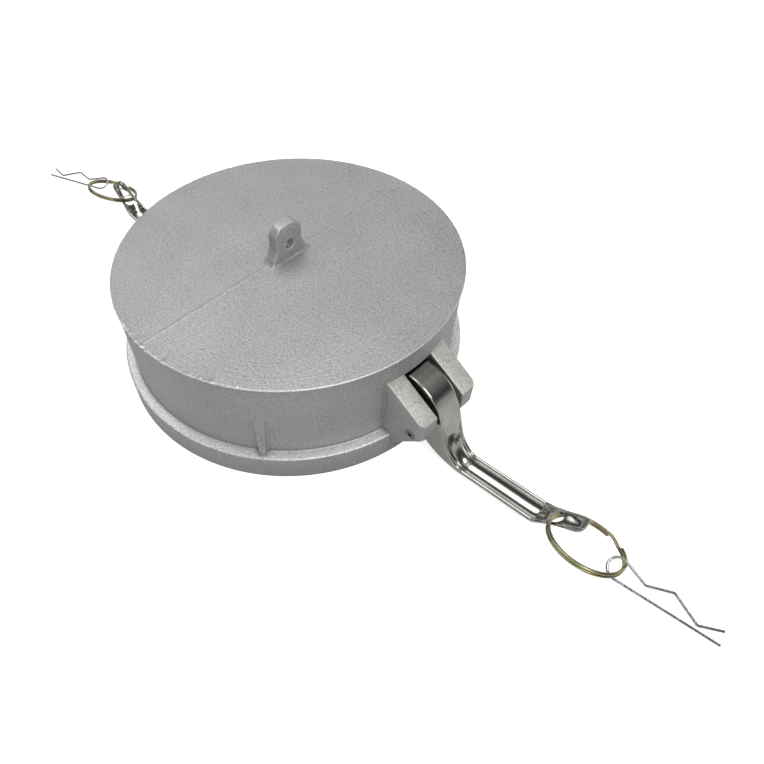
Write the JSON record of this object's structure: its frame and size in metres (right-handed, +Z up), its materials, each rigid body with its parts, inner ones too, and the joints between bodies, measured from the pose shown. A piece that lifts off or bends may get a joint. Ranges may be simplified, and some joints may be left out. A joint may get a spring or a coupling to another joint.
{
  "type": "camlock dust cap",
  "caption": "Cam-and-groove dust cap: a cast cup with an inner gasket, swinging cam arms in eared windows, and pull rings with hairpin clips.",
  "frame": {"origin": "on the cap's axis in the plane of its rim, at the middle of the whole object's footprint", "axes": "+Z up the cap's axis towards the closed end, +X along one cam arm, +Y across the arms"},
  "size_m": [0.5303, 0.203, 0.088],
  "materials": {
    "cast_aluminium": "as-cast, fine grain",
    "gasket_rubber": "matt black",
    "cast_stainless": "tumbled stainless, half bright",
    "spring_steel": "rolled strip, satin",
    "yellow_zinc": "yellow-green zinc plate, bright",
    "plain_wire": "drawn wire, satin"
  },
  "bodies": {
    "cap": {"cap_body": "cast_aluminium", "gasket": "gasket_rubber", "pivot_pin_right": "spring_steel", "pivot_pin_left": "spring_steel"},
    "arm_right": {"cam_arm_right": "cast_stainless"},
    "ring_right": {"split_ring_right": "yellow_zinc"},
    "clip_right": {"hairpin_clip_right": "plain_wire"},
    "arm_left": {"cam_arm_left": "cast_stainless"},
    "ring_left": {"split_ring_left": "yellow_zinc"},
    "clip_left": {"hairpin_clip_left": "plain_wire"}
  },
  "joints": [
    {"name": "arm_pivot_right", "type": "hinge", "parent": "cap", "child": "arm_right", "pos_m": [0.111, 0, 0.0285], "axis": [0, -1, 0], "range_deg": [-20, 66]},
    {"name": "ring_swing_right", "type": "hinge", "parent": "arm_right", "child": "ring_right", "pos_m": [0.1843, 0, 0.01582], "axis": [0.1504, 0.9345, -0.3228], "range_deg": [-25, 25]},
    {"name": "clip_swing_right", "type": "hinge", "parent": "ring_right", "child": "clip_right", "pos_m": [0.21905, -0.0011, 0.01755], "axis": [-0.0583, 0.9411, -0.3331], "range_deg": [-20, 20]},
    {"name": "arm_pivot_left", "type": "hinge", "parent": "cap", "child": "arm_left", "pos_m": [-0.111, 0, 0.0285], "axis": [0, 1, 0], "range_deg": [-20, 66]},
    {"name": "ring_swing_left", "type": "hinge", "parent": "arm_left", "child": "ring_left", "pos_m": [-0.1843, 0, 0.01582], "axis": [0.1504, -0.9345, 0.3228], "range_deg": [-25, 25]},
    {"name": "clip_swing_left", "type": "hinge", "parent": "ring_left", "child": "clip_left", "pos_m": [-0.21905, -0.0011, 0.01755], "axis": [-0.0583, -0.9411, 0.3331], "range_deg": [-20, 20]}
  ]
}
